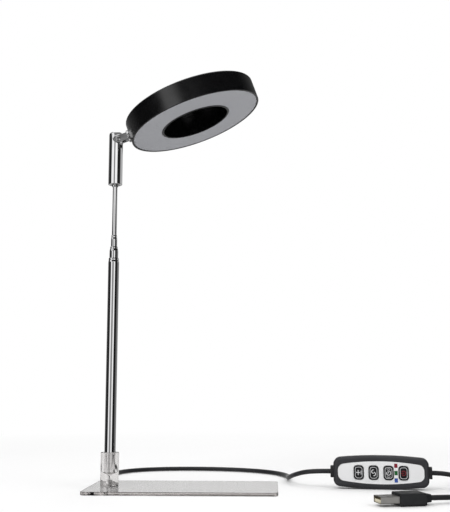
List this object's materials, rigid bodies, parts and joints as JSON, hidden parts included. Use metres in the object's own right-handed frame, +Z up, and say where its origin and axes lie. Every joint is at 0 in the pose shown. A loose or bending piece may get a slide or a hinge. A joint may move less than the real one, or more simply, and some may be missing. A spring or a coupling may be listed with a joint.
{
  "type": "telescopic grow light",
  "caption": "Ring grow light on a telescopic pole with a clear foot plate, a tilting hinge sleeve, an in-line button controller and a plug on its cord.",
  "frame": {"origin": "centre of the foot plate's underside", "axes": "+X along the foot plate from the pole towards its far end, +Y away from the viewer across the plate, +Z up along the pole"},
  "size_m": [0.3386, 0.217, 0.3155],
  "materials": {
    "clear_acrylic": "polished, flame-bright edges",
    "chrome": "polished",
    "steel": "plain zinc",
    "black_shell": "satin",
    "diffuser": "opal",
    "white_board": "white mask",
    "led": "clear resin over phosphor",
    "black_rubber": "satin",
    "grey_shell": "fine texture",
    "silver_face": "satin silver",
    "button_black": "satin",
    "blue_window": "clear tinted",
    "green_window": "clear tinted",
    "red_window": "clear tinted",
    "green_board": "solder mask",
    "nylon": "natural",
    "brass": "turned",
    "ivory_insert": "moulded"
  },
  "bodies": {
    "foot": {"base_plate": "clear_acrylic", "pole_socket": "clear_acrylic", "socket_screw": "steel", "pole_nose": "chrome", "outer_tube": "chrome", "cord_grommet": "black_rubber", "cord_to_controller": "black_rubber", "cord_to_coil": "black_rubber", "cord_coil": "black_rubber", "cord_to_plug": "black_rubber", "cord_tie": "black_rubber", "controller_front": "grey_shell", "controller_back": "grey_shell", "controller_faceplate": "silver_face", "blue_indicator": "blue_window", "green_indicator": "green_window", "red_indicator": "red_window", "controller_board": "green_board", "tact_switches": "button_black", "lamp_side_relief": "black_rubber", "plug_side_relief": "black_rubber", "plug_body": "black_shell", "plug_shell": "steel", "plug_tongue": "ivory_insert", "plug_contacts": "brass"},
    "second_section": {"second_tube": "chrome", "second_bush": "nylon"},
    "third_section": {"third_tube": "chrome", "third_bush": "nylon"},
    "top_section": {"top_rod": "chrome", "rod_bush": "nylon", "rod_ferrule": "chrome"},
    "sleeve": {"hinge_sleeve": "chrome", "sleeve_bush": "brass"},
    "head": {"hinge_fork": "chrome", "hinge_pin": "steel", "friction_washers": "nylon", "neck_nut": "steel", "ring_housing": "black_shell", "ring_cover": "black_shell", "diffuser_ring": "diffuser", "led_board": "white_board", "led_chips": "led", "board_screws": "steel"},
    "brightness_button": {"brightness_button": "button_black"},
    "mode_button": {"mode_button": "button_black"},
    "timer_button": {"timer_button": "button_black"},
    "power_button": {"power_button": "button_black"}
  },
  "joints": [
    {"name": "second_slide", "type": "slide", "parent": "foot", "child": "second_section", "axis": [0, 0, 1], "range_m": [0, 0.124]},
    {"name": "third_slide", "type": "slide", "parent": "second_section", "child": "third_section", "axis": [0, 0, 1], "range_m": [0, 0.122]},
    {"name": "rod_slide", "type": "slide", "parent": "third_section", "child": "top_section", "axis": [0, 0, 1], "range_m": [-0.029, 0.092]},
    {"name": "head_swivel", "type": "hinge", "parent": "top_section", "child": "sleeve", "pos_m": [-0.0553, 0, 0.25], "axis": [0, 0, 1], "range_deg": [-170, 170]},
    {"name": "head_tilt", "type": "hinge", "parent": "sleeve", "child": "head", "pos_m": [-0.0531, 0, 0.2694], "axis": [0, -1, 0], "range_deg": [-39.6, 70.4]},
    {"name": "brightness_press", "type": "slide", "parent": "foot", "child": "brightness_button", "axis": [0.1392, 0.9903, 0], "range_m": [0, 0.0004], "stiffness_N_per_m": 600},
    {"name": "mode_press", "type": "slide", "parent": "foot", "child": "mode_button", "axis": [0.1392, 0.9903, 0], "range_m": [0, 0.0004], "stiffness_N_per_m": 600},
    {"name": "timer_press", "type": "slide", "parent": "foot", "child": "timer_button", "axis": [0.1392, 0.9903, 0], "range_m": [0, 0.0004], "stiffness_N_per_m": 600},
    {"name": "power_press", "type": "slide", "parent": "foot", "child": "power_button", "axis": [0.1392, 0.9903, 0], "range_m": [0, 0.0004], "stiffness_N_per_m": 600}
  ]
}
